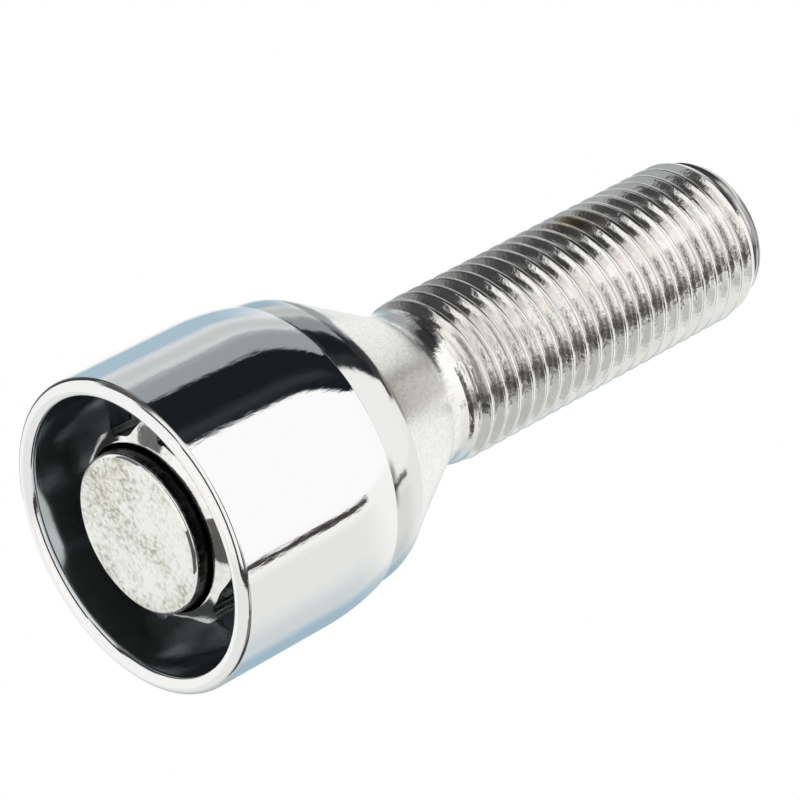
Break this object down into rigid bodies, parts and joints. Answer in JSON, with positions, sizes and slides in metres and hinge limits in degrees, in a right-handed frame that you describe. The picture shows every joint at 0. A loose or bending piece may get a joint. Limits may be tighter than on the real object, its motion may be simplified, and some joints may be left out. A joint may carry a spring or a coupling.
{
  "type": "locking wheel bolt",
  "caption": "Locking wheel bolt with a lobed key collar round a centre post, a free-spinning chrome sleeve, a 60 degree cone seat and a threaded shank.",
  "frame": {"origin": "on the bolt's axis, in the plane of the front of the sleeve's lip, on which the bolt stands head down", "axes": "+Z along the bolt's axis from the head to the threaded tip; X and Y are square to it, and the lobes' angles are counted from +X"},
  "size_m": [0.0254, 0.0254, 0.063],
  "materials": {
    "zinc_plated_steel": "bright zinc plating, fine grain",
    "chromed_steel": "polished chrome plating",
    "spring_steel": "dark oiled spring steel"
  },
  "bodies": {
    "bolt": {"bolt": "zinc_plated_steel", "retaining_ring": "spring_steel"},
    "sleeve": {"spinning_sleeve": "chromed_steel"}
  },
  "joints": [
    {"name": "sleeve_spin", "type": "hinge", "parent": "bolt", "child": "sleeve", "pos_m": [0, 0, 0.0137], "axis": [0, 0, 1], "continuous": true}
  ]
}
